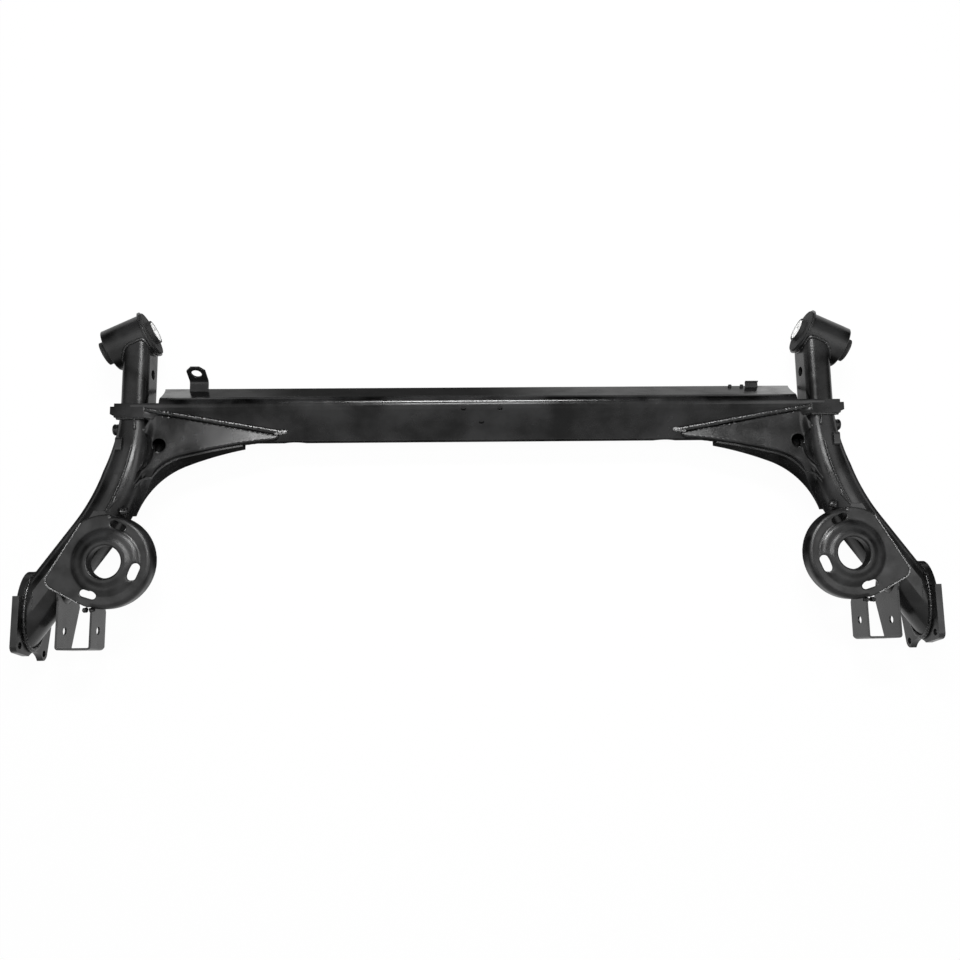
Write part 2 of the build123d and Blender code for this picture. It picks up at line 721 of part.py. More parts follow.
# Damper bracket: the U shaped sheet is cut to the outline of its two walls
bracket_outer_x = bracket_inner_x + bracket_gap + 2 * bracket_t
bracket_middle_x = (bracket_inner_x + bracket_outer_x) / 2
bracket_top_rear_y = bracket_rear_y + bracket_pitch * (bracket_top - bracket_rear_bottom)
with BuildPart() as bracket_walls:
    with BuildSketch(Plane.YZ.offset(bracket_inner_x)):
        with BuildLine():
            Polyline(
                (bracket_rear_y - bracket_t, arm_z + bracket_top),
                (rim_y - seat_radius + bracket_bend, arm_z + bracket_top),
                (rim_y - seat_radius + bracket_bend, arm_z + bracket_bottom + bracket_bend),
                (rim_y - seat_radius - bracket_bend, arm_z + bracket_bottom),
                (bracket_rear_y + bracket_bend, arm_z + bracket_bottom),
                (bracket_rear_y - bracket_t, arm_z + bracket_bottom + bracket_bend + bracket_t),
                (bracket_rear_y - bracket_t, arm_z + bracket_top),
            )
        make_face()
    extrude(amount=bracket_middle_x - bracket_inner_x)
    with BuildSketch(Plane.YZ.offset(bracket_middle_x)):
        with BuildLine():
            Polyline(
                (bracket_rear_y - bracket_t, arm_z + bracket_rear_bottom),
                (bracket_rear_y - bracket_t, arm_z + bracket_top),
                (bracket_front_y - bracket_ramp_start, arm_z + bracket_top),
                (bracket_front_y - bracket_ramp_end, arm_z + bracket_shoulder),
                (bracket_front_y, arm_z + bracket_shoulder),
                (bracket_front_y - bracket_lower_front, arm_z - bracket_top),
                (bracket_front_y - bracket_wing_length, arm_z + bracket_wing_bottom),
                (bracket_rear_y - bracket_t, arm_z + bracket_rear_bottom),
            )
        make_face()
    extrude(amount=bracket_outer_x - bracket_middle_x)

with BuildPart() as damper_bracket:
    with BuildSketch(Plane.XY.offset(arm_z + bracket_wing_bottom)):
        rear_y = bracket_rear_y + bracket_pitch * (bracket_wing_bottom - bracket_rear_bottom)
        with BuildLine():
            FilletPolyline(
                (bracket_inner_x, bracket_front_y + bracket_bend),
                (bracket_inner_x, rear_y),
                (bracket_outer_x, rear_y),
                (bracket_outer_x, bracket_front_y + bracket_bend),
                radius=bracket_bend,
            )
            offset(amount=bracket_t, side=Side.LEFT)
        make_face()
    extrude(amount=bracket_shoulder - bracket_wing_bottom, dir=(0, bracket_pitch, 1))
    add(bracket_walls.part, mode=Mode.INTERSECT)
    with BuildSketch(Plane.YZ.offset(bracket_inner_x - bracket_t)):
        with Locations((damper_hole_y, arm_z + damper_hole_rise)):
            Circle(damper_hole_d / 2)
    extrude(amount=bracket_gap + 4 * bracket_t, mode=Mode.SUBTRACT)
    add(seat_space.part, mode=Mode.SUBTRACT)
    add(arm_outer.part, mode=Mode.SUBTRACT)
write_pair(damper_bracket.part, "damper_bracket")

# Boss on the outer wall of the arm
boss_end_x = arm_x + boss_reach
with BuildPart() as side_boss:
    with BuildSketch(Plane.YZ.offset(boss_end_x)):
        with Locations((boss_y, arm_z)):
            Circle(boss_d / 2)
    extrude(amount=arm_x - boss_end_x)
    chamfer(side_boss.faces().sort_by(Axis.X)[-1].edges(), boss_chamfer)
    with BuildSketch(Plane.YZ.offset(boss_end_x - 2 * boss_groove_width)):
        with Locations((boss_y, arm_z)):
            Circle(boss_d / 2)
            Circle(boss_groove_d / 2, mode=Mode.SUBTRACT)
    extrude(amount=boss_groove_width, mode=Mode.SUBTRACT)
    with BuildSketch(Plane.YZ.offset(boss_end_x)):
        with Locations((boss_y, arm_z)):
            Circle(boss_bore_d / 2)
    extrude(amount=-boss_bore_depth, mode=Mode.SUBTRACT)
    add(arm_outer.part, mode=Mode.SUBTRACT)
write_pair(side_boss.part, "side_boss")

# Cable clip on the top of the arm, open underneath along X
clip_x = arm_x + clip_outward
clip_top_z = arm_top_z + clip_rise
with BuildPart() as cable_clip:
    with BuildSketch(Plane.YZ.offset(clip_x - clip_width / 2)):
        with Locations((clip_y, clip_top_z - tube_wall)):
            Rectangle(clip_length, 2 * tube_wall)
    extrude(amount=clip_width)
    fillet(cable_clip.edges().filter_by(Axis.X).group_by(Axis.Z)[-1], clip_corner)
    with BuildSketch(Plane.YZ.offset(clip_x - clip_width / 2)):
        with Locations((clip_y, arm_top_z + clip_tunnel_rise - tube_wall)):
            Rectangle(clip_tunnel_length, 2 * tube_wall)
    extrude(amount=clip_width, mode=Mode.SUBTRACT)
    add(arm_outer.part, mode=Mode.SUBTRACT)
write_pair(cable_clip.part, "cable_clip")

# Brake hose bracket on the front leg of the crossbeam, left side only
hose_bracket_x = hose_bracket_inward - arm_x
hose_z = arm_z - hose_bracket_drop
tab_direction = (0, cos(radians(hose_bracket_turn)), sin(radians(hose_bracket_turn)))
tab_normal = (0, -sin(radians(hose_bracket_turn)), cos(radians(hose_bracket_turn)))
with BuildPart() as hose_bracket:
    with BuildSketch(Plane.YZ.offset(hose_bracket_x - hose_bracket_width / 2)):
        with BuildLine():
            FilletPolyline(
                (beam_ridge_y, hose_z),
                (hose_bracket_reach, hose_z),
                (
                    hose_bracket_reach + hose_tab_length * tab_direction[1],
                    hose_z + hose_tab_length * tab_direction[2],
                ),
                radius=hose_bracket_bend + hose_bracket_t,
            )
            offset(amount=hose_bracket_t, side=Side.LEFT)
        make_face()
    extrude(amount=hose_bracket_width)
    corners = hose_bracket.edges().filter_by(Axis((0, 0, 0), tab_normal)).sort_by(Axis.Y)[-2:]
    chamfer(corners, hose_tab_corner)
    hole_reach = hose_tab_length - hose_hole_d / 2 - hose_bracket_bend
    hose_hole_plane = Plane(
        origin=(
            hose_bracket_x,
            hose_bracket_reach + hole_reach * tab_direction[1],
            hose_z + hole_reach * tab_direction[2],
        ),
        x_dir=(1, 0, 0),
        z_dir=tab_normal,
    )
    with BuildSketch(hose_hole_plane):
        Circle(hose_hole_d / 2)
    extrude(amount=2 * hose_bracket_t, both=True, mode=Mode.SUBTRACT)
    add(v_filled.part, mode=Mode.SUBTRACT)
write(hose_bracket.part, "brake_hose_bracket")

# Brake line clip and two studs at the foot of the front leg, right side only
line_clip_x = arm_x - line_clip_inward
line_clip_y = front_foot[0] + line_clip_reach
line_clip_z = front_foot[1] + line_clip_rise
with BuildPart() as line_clip:
    with BuildSketch(Plane.YZ.offset(line_clip_x - line_clip_width / 2)):
        with BuildLine():
            FilletPolyline(
                (beam_ridge_y, line_clip_z),
                (line_clip_y, line_clip_z),
                (line_clip_y, line_clip_z + line_clip_lip),
                radius=line_clip_bend,
            )
            offset(amount=line_clip_t, side=Side.LEFT)
        make_face()
    extrude(amount=line_clip_width)
    add(v_filled.part, mode=Mode.SUBTRACT)
write(line_clip.part, "brake_line_clip")

stud_centre = (
    beam_ridge_y + (front_foot[0] - beam_ridge_y) * line_stud_down_leg,
    ridge[1] + (front_foot[1] - ridge[1]) * line_stud_down_leg,
)
stud_direction = (0, cos(radians(front_leg_angle)), sin(radians(front_leg_angle)))
for stud_inward, stud_name in zip(line_stud_inwards, ("inner_line_stud", "outer_line_stud")):
    with BuildPart() as line_stud:
        with BuildSketch(Plane(origin=(arm_x - stud_inward, *stud_centre), x_dir=(1, 0, 0), z_dir=stud_direction)):
            Circle(line_stud_d / 2)
        extrude(amount=line_stud_length)
        chamfer(line_stud.faces().sort_by(Axis.Y)[-1].edges(), line_stud_chamfer)
    write(line_stud.part, stud_name)
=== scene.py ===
# Rear twist beam axle, black paint on pressed and welded steel.
# Metres, X to the vehicle's right, Y to its front, Z up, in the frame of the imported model.
from math import cos, exp, pi, radians, sin, sqrt

import bpy
from mathutils import Matrix, Vector


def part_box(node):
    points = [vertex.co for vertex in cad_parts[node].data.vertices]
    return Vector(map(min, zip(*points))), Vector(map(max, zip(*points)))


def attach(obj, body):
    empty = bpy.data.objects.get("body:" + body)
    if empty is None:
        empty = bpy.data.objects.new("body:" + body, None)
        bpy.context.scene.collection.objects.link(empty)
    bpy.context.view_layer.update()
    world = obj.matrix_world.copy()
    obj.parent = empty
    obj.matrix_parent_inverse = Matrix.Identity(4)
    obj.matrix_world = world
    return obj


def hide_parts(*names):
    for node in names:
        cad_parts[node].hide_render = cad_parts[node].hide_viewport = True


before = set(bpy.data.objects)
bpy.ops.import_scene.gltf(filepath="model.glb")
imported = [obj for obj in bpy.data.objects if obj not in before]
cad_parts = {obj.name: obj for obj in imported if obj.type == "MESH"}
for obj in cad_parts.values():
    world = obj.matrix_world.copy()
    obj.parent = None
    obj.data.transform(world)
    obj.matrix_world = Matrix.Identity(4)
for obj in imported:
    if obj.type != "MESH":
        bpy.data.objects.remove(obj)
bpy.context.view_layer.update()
bpy.ops.object.select_all(action="DESELECT")

# Trailing arms: steel tube, flattened towards the bush and bent outwards at the rear.
# The whole axle is dipped in black paint after its brackets are welded on.
sides = {"right": 1, "left": -1}
paint_black = (0.0008, 0.0008, 0.0008, 1.0)
paint_faded = (0.0150, 0.0150, 0.0153, 1.0)
dust_grey = (0.060, 0.060, 0.060, 1.0)
edge_highlight_grey = (0.110, 0.110, 0.110, 1.0)
cloud_detail = 7.0
speck_scale = 900.0
speck_detail = 2.0
speck_fade = 0.08
painted_shade_fade = 0.006
edge_begins = 0.96
edge_full = 0.80
edge_samples = 4
smear_scale = 34.0
smear_detail = 6.0
smear_band = (0.35, 0.70)
smoother = 0.05
rougher = 0.12
peel_scale = 420.0
peel_detail = 3.0
peel_strength = 0.25
peel_depth = 0.00012
crease_angle = 35


class Recipe:
    """The nodes of one material, or of the room's light, added one at a time."""

    def __init__(self, owner, place="Object"):
        owner.use_nodes = True
        self.nodes = owner.node_tree.nodes
        self.links = owner.node_tree.links
        self.place = self.nodes.new("ShaderNodeTexCoord").outputs[place]

    def put(self, value, socket):
        """Link an output to a socket, or write a number or a colour on it."""
        if isinstance(value, bpy.types.NodeSocket):
            self.links.new(value, socket)
        else:
            socket.default_value = value

    def axis(self, letter):
        """One of the three coordinates of the place."""
        split = self.nodes.new("ShaderNodeSeparateXYZ")
        self.put(self.place, split.inputs["Vector"])
        return split.outputs[letter]

    def noise(self, scale, detail):
        """Cloudy noise that is fixed to the surface."""
        texture = self.nodes.new("ShaderNodeTexNoise")
        texture.inputs["Scale"].default_value = scale
        texture.inputs["Detail"].default_value = detail
        self.put(self.place, texture.inputs["Vector"])
        return texture.outputs["Fac"]

    def between(self, source, low, high, to_low, to_high, smooth=False):
        """A value that goes from to_low to to_high while its source goes from low to high."""
        band = self.nodes.new("ShaderNodeMapRange")
        band.interpolation_type = "SMOOTHSTEP" if smooth else "LINEAR"
        band.inputs["From Min"].default_value = low
        band.inputs["From Max"].default_value = high
        band.inputs["To Min"].default_value = to_low
        band.inputs["To Max"].default_value = to_high
        self.put(source, band.inputs["Value"])
        return band.outputs["Result"]

    def blend(self, factor, first, second):
        """One colour that gives way to another."""
        mix = self.nodes.new("ShaderNodeMix")
        mix.data_type = "RGBA"
        self.put(factor, mix.inputs["Factor"])
        self.put(first, mix.inputs[6])
        self.put(second, mix.inputs[7])
        return mix.outputs[2]

    def combine(self, operation, first, second=0.0):
        """A sum, a product or the like of two values."""
        node = self.nodes.new("ShaderNodeMath")
        node.operation = operation
        self.put(first, node.inputs[0])
        self.put(second, node.inputs[1])
        return node.outputs[0]

    def bump(self, height, strength, distance, normal=None):
        """Small unevenness of the surface."""
        relief = self.nodes.new("ShaderNodeBump")
        relief.inputs["Strength"].default_value = strength
        relief.inputs["Distance"].default_value = distance
        self.put(height, relief.inputs["Height"])
        if normal is not None:
            self.put(normal, relief.inputs["Normal"])
        return relief.outputs["Normal"]


def black_paint(
    name, roughness=0.24, shine=0.5, cloud=14.0, patch=(0.42, 0.60), faded=paint_faded,
    dust=0.25, grit=dust_grey, speck_from=0.66, edge=0.0010, edge_highlight=0.5, painted_shade_from=None, painted_shade=None,
):
    """Dip paint on steel: soft dark and faded areas and a few specks, thin paler edges that are a painted
    highlight, and, if asked, a painted shade that darkens all beyond a given Y.
    """
    paint = bpy.data.materials.new(name)
    recipe = Recipe(paint)
    shader = recipe.nodes["Principled BSDF"]
    clouds = recipe.between(recipe.noise(cloud, cloud_detail), *patch, 0.0, 1.0)
    colour = recipe.blend(clouds, paint_black, faded)
    specks = recipe.noise(speck_scale, speck_detail)
    specks = recipe.between(specks, speck_from, speck_from + speck_fade, 0.0, dust)
    colour = recipe.blend(specks, colour, grit)
    # Painted shade: beyond a given Y the colour turns darker, for a face that lies in shade.
    if painted_shade_from is not None:
        painted_shade_area = recipe.between(recipe.axis("Y"), painted_shade_from, painted_shade_from + painted_shade_fade, 0.0, 1.0)
        colour = recipe.blend(painted_shade_area, colour, painted_shade)
    # Painted highlight: the colour turns paler where the rounded edge normal leans away from the face, along
    # every edge.
    round_edge = recipe.nodes.new("ShaderNodeBevel")
    round_edge.samples = edge_samples
    round_edge.inputs["Radius"].default_value = edge
    surface = recipe.nodes.new("ShaderNodeNewGeometry")
    turned = recipe.nodes.new("ShaderNodeVectorMath")
    turned.operation = "DOT_PRODUCT"
    recipe.put(round_edge.outputs["Normal"], turned.inputs[0])
    recipe.put(surface.outputs["Normal"], turned.inputs[1])
    highlit_edges = recipe.between(turned.outputs["Value"], edge_begins, edge_full, 0.0, edge_highlight)
    recipe.put(recipe.blend(highlit_edges, colour, edge_highlight_grey), shader.inputs["Base Color"])
    smears = recipe.noise(smear_scale, smear_detail)
    smears = recipe.between(smears, *smear_band, roughness - smoother, roughness + rougher)
    recipe.put(smears, shader.inputs["Roughness"])
    shader.inputs["Specular IOR Level"].default_value = shine
    orange_peel = recipe.bump(
        recipe.noise(peel_scale, peel_detail), peel_strength, peel_depth, round_edge.outputs["Normal"],
    )
    recipe.put(orange_peel, shader.inputs["Normal"])
    return paint


def dress(node, material):
    """Give a CAD node its paint and smooth its round faces."""
    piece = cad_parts[node]
    piece.data.materials.clear()
    piece.data.materials.append(material)
    bpy.ops.object.select_all(action="DESELECT")
    piece.select_set(True)
    bpy.context.view_layer.objects.active = piece
    bpy.ops.object.shade_smooth_by_angle(angle=radians(crease_angle))


tube_paint = black_paint("tube_paint")
for side in sides:
    dress(f"{side}_trailing_arm", tube_paint)

# Crossbeam: a V section pressed from thick sheet, ridge up, so that it can twist between the arms.
# It is welded to both arms at its flattened ends. Its paint is smooth, with faded clouds, and a painted shade
# darkens its front strip.
beam_faded = (0.0210, 0.0210, 0.0214, 1.0)
front_strip_painted_shade = (0.0005, 0.0005, 0.0005, 1.0)
front_strip_shade_from = 0.130
beam_paint = black_paint(
    "beam_paint", roughness=0.17, shine=0.36, cloud=11.0, patch=(0.40, 0.60), faded=beam_faded,
    edge=0.0006, edge_highlight=0.0, painted_shade_from=front_strip_shade_from, painted_shade=front_strip_painted_shade,
)
dress("crossbeam", beam_paint)

# Gussets: two pressings of deep drawn sheet on each side, lapped at a seam and welded on, which close the
# corner between crossbeam and arm. Their bends are soft, and the upper one has a long hollow by the arm.
mesh_cell = 0.0014
gusset_rounds = 6
hollow_depth = 0.0075
hollow_width = 0.010
hollow_front = (0.527, 0.095)
hollow_rear = (0.560, -0.045)


def even_copy(node):
    """A copy of a pressing with an even mesh of small faces, ready to be shaped."""
    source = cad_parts[node]
    bpy.ops.object.select_all(action="DESELECT")
    source.select_set(True)
    bpy.context.view_layer.objects.active = source
    bpy.ops.object.duplicate()
    piece = bpy.context.object
    piece.name = f"{node}_pressing"
    bpy.ops.object.mode_set(mode="EDIT")
    bpy.ops.mesh.select_all(action="SELECT")
    bpy.ops.mesh.remove_doubles(threshold=0.00001)
    bpy.ops.object.mode_set(mode="OBJECT")
    even = piece.modifiers.new("even", "REMESH")
    even.mode = "VOXEL"
    even.voxel_size = mesh_cell
    bpy.ops.object.modifier_apply(modifier=even.name)
    return piece


def soften(piece, rounds, group=""):
    """Smooth all of a pressing, or one group of its points."""
    soft = piece.modifiers.new("soft", "SMOOTH")
    soft.factor = 0.5
    soft.iterations = rounds
    soft.vertex_group = group
    bpy.ops.object.modifier_apply(modifier=soft.name)


def hollow_at(x, y):
    """Depth of the gusset's hollow at a place: a round groove that fades out at both ends."""
    along_x = hollow_rear[0] - hollow_front[0]
    along_y = hollow_rear[1] - hollow_front[1]
    length = sqrt(along_x ** 2 + along_y ** 2)
    part = ((x - hollow_front[0]) * along_x + (y - hollow_front[1]) * along_y) / length ** 2
    aside = ((x - hollow_front[0]) * along_y - (y - hollow_front[1]) * along_x) / length
    ends = 1 / (1 + (2 * part - 1) ** 8)
    return hollow_depth * ends * exp(-((aside / hollow_width) ** 2))


def put_in_place(piece, node, paint):
    """Paint a pressing and let it stand for its CAD node."""
    piece.data.materials.clear()
    piece.data.materials.append(paint)
    bpy.ops.object.shade_smooth()
    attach(piece, "root")
    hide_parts(node)


sheet_paint = black_paint("sheet_paint", roughness=0.22)
gusset_paint = black_paint("gusset_paint", roughness=0.18, cloud=22.0, dust=0.4)
for side in sides:
    dress(f"{side}_gusset_lower", sheet_paint)
    gusset = even_copy(f"{side}_gusset_upper")
    soften(gusset, gusset_rounds)
    for vertex in gusset.data.vertices:
        vertex.co.z -= hollow_at(abs(vertex.co.x), vertex.co.y)
    put_in_place(gusset, f"{side}_gusset_upper", gusset_paint)

# Spring seats: round dishes drawn from sheet, welded on top of the arms. Two steps and a collar round
# the middle hole carry the coil spring. The steps are soft bends, and the paint is duller here.
seat_centre = (0.5790, -0.1269)
seat_rounds = 5
step_inner = 0.0275
step_outer = 0.0495
step_rounds = 60
seat_paint = black_paint("seat_paint", roughness=0.36, cloud=30.0, edge_highlight=0.3)
for side in sides:
    seat = even_copy(f"{side}_spring_seat")
    soften(seat, seat_rounds)
    steps = seat.vertex_groups.new(name="steps")
    for vertex in seat.data.vertices:
        reach = (Vector((abs(vertex.co.x), vertex.co.y)) - Vector(seat_centre)).length
        if step_inner < reach < step_outer:
            steps.add([vertex.index], 1.0, "REPLACE")
    soften(seat, step_rounds, steps.name)
    put_in_place(seat, f"{side}_spring_seat", seat_paint)

# Damper brackets and cable clips: cut and folded from sheet. The bracket sits between arm and spring seat,
# and its two walls hold the damper's bolt. The clip is a small bridge for a cable on the arm's top.
for side in sides:
    dress(f"{side}_damper_bracket", sheet_paint)
    dress(f"{side}_cable_clip", sheet_paint)

# Hub plates and side bosses: thick plate, cut and drilled for the wheel bearing, on each arm's rear end,
# and a short drilled bar on its outer wall. Both are welded on and painted with the axle.
plate_paint = black_paint("plate_paint", roughness=0.30)
for side in sides:
    dress(f"{side}_hub_plate", plate_paint)
    dress(f"{side}_side_boss", plate_paint)

# Bush eyes and sleeves: a short steel tube across the front end of each arm, welded on,
# and the steel sleeve with a lip that is pressed into it with the bush.
for side in sides:
    dress(f"{side}_bush_eye", plate_paint)
    dress(f"{side}_bush_sleeve", plate_paint)

# Bush rubbers: matt black rubber, moulded and bonded between the sleeve and the core, so that the axle
# can swing. A neck stands out at both ends, and a flange covers the sleeve's lip at the inner end.
rubber_dark = (0.006, 0.006, 0.006, 1.0)
rubber_pale = (0.020, 0.020, 0.020, 1.0)
rubber_cloud_scale = 60.0
rubber_cloud_detail = 5.0
rubber_grain_strength = 0.4
rubber_grain_depth = 0.0002
rubber_roughness = 0.75
rubber = bpy.data.materials.new("bush_rubber")
rubber_recipe = Recipe(rubber)
rubber_shader = rubber_recipe.nodes["Principled BSDF"]
rubber_cloud = rubber_recipe.noise(rubber_cloud_scale, rubber_cloud_detail)
rubber_tone = rubber_recipe.blend(rubber_cloud, rubber_dark, rubber_pale)
rubber_recipe.put(rubber_tone, rubber_shader.inputs["Base Color"])
rubber_grain = rubber_recipe.bump(rubber_cloud, rubber_grain_strength, rubber_grain_depth)
rubber_recipe.put(rubber_grain, rubber_shader.inputs["Normal"])
rubber_shader.inputs["Roughness"].default_value = rubber_roughness
for side in sides:
    dress(f"{side}_bush_rubber", rubber)

# Bush cores: turned aluminium with a bore for the body's bolt, bonded into the rubber.
# The inner end is bare metal, a little mottled, and the rest is painted with the axle.
bare_from = 0.560
bare_full = 0.548
mottle_scale = 70.0
mottle_detail = 4.0
mottle_band = (0.35, 0.60)
core_roughness = 0.45
aluminium_dull = (0.72, 0.72, 0.72, 1.0)
aluminium_bright = (0.85, 0.85, 0.84, 1.0)
core_metal = bpy.data.materials.new("bush_core")
core_recipe = Recipe(core_metal)
core_shader = core_recipe.nodes["Principled BSDF"]
core_mottle = core_recipe.noise(mottle_scale, mottle_detail)
core_mottle = core_recipe.between(core_mottle, *mottle_band, 0.0, 1.0)
core_tone = core_recipe.blend(core_mottle, aluminium_dull, aluminium_bright)
core_side = core_recipe.combine("ABSOLUTE", core_recipe.axis("X"))
core_bare = core_recipe.between(core_side, bare_from, bare_full, 0.0, 1.0)
core_colour = core_recipe.blend(core_bare, paint_black, core_tone)
core_recipe.put(core_colour, core_shader.inputs["Base Color"])
core_shader.inputs["Roughness"].default_value = core_roughness
for side in sides:
    dress(f"{side}_bush_core", core_metal)

# Brake hose bracket, brake line clip and two studs: small parts of folded sheet and bar,
# welded to the front of the crossbeam, the bracket on the left and the others on the right.
for node in ("brake_hose_bracket", "brake_line_clip", "inner_line_stud", "outer_line_stud"):
    dress(node, sheet_paint)

# Welds between gussets and crossbeam: one long bead each down the beam's rear leg, in the same paint,
# laid by hand, so it is a little uneven. It ends in a lump at its inner end, where the steel shows.
tube_radius = 0.034
arm_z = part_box("right_trailing_arm")[1][2] - tube_radius
gusset_weld_inner = (0.3205, 0.0795, 0.0012)
gusset_weld_outer = (0.5300, 0.1115, 0.0345)
gusset_bead = 0.0040
drop_radius = 0.0046
drop_shifts = ((-0.002, 0.001), (0.004, 0.000), (0.010, -0.001), (0.016, 0.002))
drop_rise = 0.001
drop_length = 1.25
drop_width = 0.85
drop_height = 0.80
drop_shrink = 0.15
drop_unevenness = 0.0007
bare_steel = (0.42, 0.42, 0.42, 1.0)
bead_paint = black_paint(
    "bead_paint", roughness=0.14, dust=0.45, grit=bare_steel, speck_from=0.62, edge=0.0003,
)
# Paint with many pale specks. On the weld drops they are spatter, and along the spring seats' edges they are
# a painted highlight.
spatter_and_highlight_paint = black_paint(
    "spatter_and_highlight_paint", roughness=0.20, dust=0.9, grit=bare_steel, speck_from=0.46, edge=0.0003,
)


def mirrored(sign, place):
    """A place on the right side or its mirror image on the left, its height taken from the arm's axis."""
    return (sign * place[0], place[1], arm_z + place[2])


def straight(first, last, count):
    """Evenly spaced points on a straight line."""
    return [Vector(first).lerp(Vector(last), step / (count - 1)) for step in range(count)]


def weld_bead(name, points, radius, unevenness=0.0010, ripple=0.0035, paint=bead_paint):
    """A bead of weld metal along a row of points, as a closed mesh."""
    bpy.ops.object.select_all(action="DESELECT")
    bpy.ops.curve.primitive_nurbs_path_add(location=(0, 0, 0))
    bead = bpy.context.object
    bead.name = name
    spline = bead.data.splines[0]
    spline.points.add(len(points) - len(spline.points))
    for knot, point in zip(spline.points, points):
        knot.co = (*point, 1.0)
    spline.order_u = 3
    spline.use_endpoint_u = True
    bead.data.resolution_u = 6
    bead.data.bevel_depth = radius
    bead.data.bevel_resolution = 3
    bead.data.use_fill_caps = True
    bpy.ops.object.convert(target="MESH")
    grain = bpy.data.textures.new(name, type="CLOUDS")
    grain.noise_scale = ripple
    rough = bead.modifiers.new("ripple", "DISPLACE")
    rough.texture = grain
    rough.texture_coords = "LOCAL"
    rough.strength = unevenness
    rough.mid_level = 0.5
    bpy.ops.object.modifier_apply(modifier=rough.name)
    bpy.ops.object.mode_set(mode="EDIT")
    bpy.ops.mesh.select_all(action="SELECT")
    bpy.ops.mesh.remove_doubles(threshold=0.00005)
    bpy.ops.mesh.normals_make_consistent(inside=False)
    bpy.ops.object.mode_set(mode="OBJECT")
    bpy.ops.object.shade_smooth()
    bead.data.materials.append(paint)
    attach(bead, "root")


for side, sign in sides.items():
    inner_end = mirrored(sign, gusset_weld_inner)
    outer_end = mirrored(sign, gusset_weld_outer)
    weld_bead(f"{side}_gusset_weld", straight(inner_end, outer_end, 90), gusset_bead)
    for number, (shift_x, shift_y) in enumerate(drop_shifts):
        bpy.ops.object.select_all(action="DESELECT")
        place = Vector(inner_end) + Vector((sign * shift_x, shift_y, drop_rise))
        bpy.ops.mesh.primitive_uv_sphere_add(segments=20, ring_count=12, radius=drop_radius, location=place)
        drop = bpy.context.object
        drop.name = f"{side}_weld_drop_{number}"
        bpy.ops.object.mode_set(mode="EDIT")
        bpy.ops.mesh.select_all(action="SELECT")
        bpy.ops.transform.resize(value=(drop_length - drop_shrink * number, drop_width, drop_height))
        bpy.ops.transform.vertex_random(offset=drop_unevenness, seed=number)
        bpy.ops.object.mode_set(mode="OBJECT")
        bpy.ops.object.transform_apply(location=True, rotation=True, scale=True)
        bpy.ops.object.shade_smooth()
        last_drop = number == len(drop_shifts) - 1
        drop.data.materials.append(bead_paint if last_drop else spatter_and_highlight_paint)
        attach(drop, "root")

# Welds between gussets and arms: a thin bead along the edge of each upper pressing,
# which follows the arm's bend.
bend_centre = (0.882, 0.110)
seam_radius = 0.3375
seam_from = 9.5
seam_turn = 18.5
seam_rise = 0.0325
seam_bead = 0.0022
seam_points = 60
for side, sign in sides.items():
    seam = []
    for step in range(seam_points):
        turn = radians(seam_from + seam_turn * step / (seam_points - 1))
        seam_x = bend_centre[0] - seam_radius * cos(turn)
        seam_y = bend_centre[1] - seam_radius * sin(turn)
        seam.append(mirrored(sign, (seam_x, seam_y, seam_rise)))
    weld_bead(f"{side}_seam_weld", seam, seam_bead, unevenness=0.0008)

# Welds between crossbeam and arms: a short bead on each arm's top,
# along the rear edge of the beam's flattened end.
band_weld_inner = (0.5300, 0.0985, 0.0325)
band_weld_outer = (0.5745, 0.0985, 0.0315)
band_bead = 0.0028
for side, sign in sides.items():
    rear_edge = straight(mirrored(sign, band_weld_inner), mirrored(sign, band_weld_outer), 24)
    weld_bead(f"{side}_band_weld", rear_edge, band_bead)

# Welds between arms and bush eyes: a saddle shaped bead round the flattened end of each tube,
# where it meets the eye's round wall.
eye_turn = radians(25)
eye_low, eye_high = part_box("right_bush_eye")
eye_x = 0.570
eye_y = eye_low[1] + 0.5 * (eye_high[1] - eye_low[1])
eye_weld_radius = 0.0345
eye_bead = 0.0026
arm_front_x = 0.552
tube_half_width = 0.0215
tube_half_height = 0.0315
corner_power = 0.5
saddle_points = 96


def squared(value):
    """A sine or cosine bent so that it draws a rounded rectangle."""
    return abs(value) ** corner_power * (1 if value > 0 else -1)


for side, sign in sides.items():
    saddle = []
    for step in range(saddle_points):
        angle = 2 * pi * step / saddle_points
        saddle_x = arm_front_x + tube_half_width * squared(cos(angle))
        up = tube_half_height * squared(sin(angle))
        depth = sqrt(eye_weld_radius ** 2 - up ** 2)
        saddle_y = eye_y - (depth + (saddle_x - eye_x) * sin(eye_turn)) / cos(eye_turn)
        saddle.append(mirrored(sign, (saddle_x, saddle_y, up)))
    saddle.append(saddle[0])
    weld_bead(f"{side}_eye_weld", saddle, eye_bead)

# Welds between arms and hub plates: an oval bead round the rear end of each tube,
# because the tube meets the plate at an angle.
hub_weld_x = 0.6985
hub_weld_y = -0.2009
hub_weld_half_length = 0.0590
hub_weld_half_height = 0.0350
hub_bead = 0.0034
oval_points = 110
for side, sign in sides.items():
    oval = []
    for step in range(oval_points):
        angle = 2 * pi * step / (oval_points - 1)
        oval_y = hub_weld_y + hub_weld_half_length * cos(angle)
        oval.append(mirrored(sign, (hub_weld_x, oval_y, hub_weld_half_height * sin(angle))))
    weld_bead(f"{side}_hub_weld", oval, hub_bead, unevenness=0.0016)

# Welds round the outer edges of the spring seats: a thin line of weld along the arm, round the plate's
# corner and on to the rim. Its pale specks are a painted highlight along the plate's edge.
seat_rim_centre = (0.0025, 0.0008)
seat_rim_radius = 0.0725
plate_corner = (0.076, -0.026)
plate_corner_radius = 0.014
plate_reach = 0.0655
plate_turn = 30.7
plate_corner_turn = 92.3
plate_rise = 0.0362
edge_front = 0.031
edge_length = 0.092
edge_points = 40
corner_steps = 15
last_steps = 20
seat_bead = 0.0012


def on_circle(centre, radius, degrees):
    """A point on a circle, seen from above."""
    return (centre[0] + radius * cos(radians(degrees)), centre[1] + radius * sin(radians(degrees)))


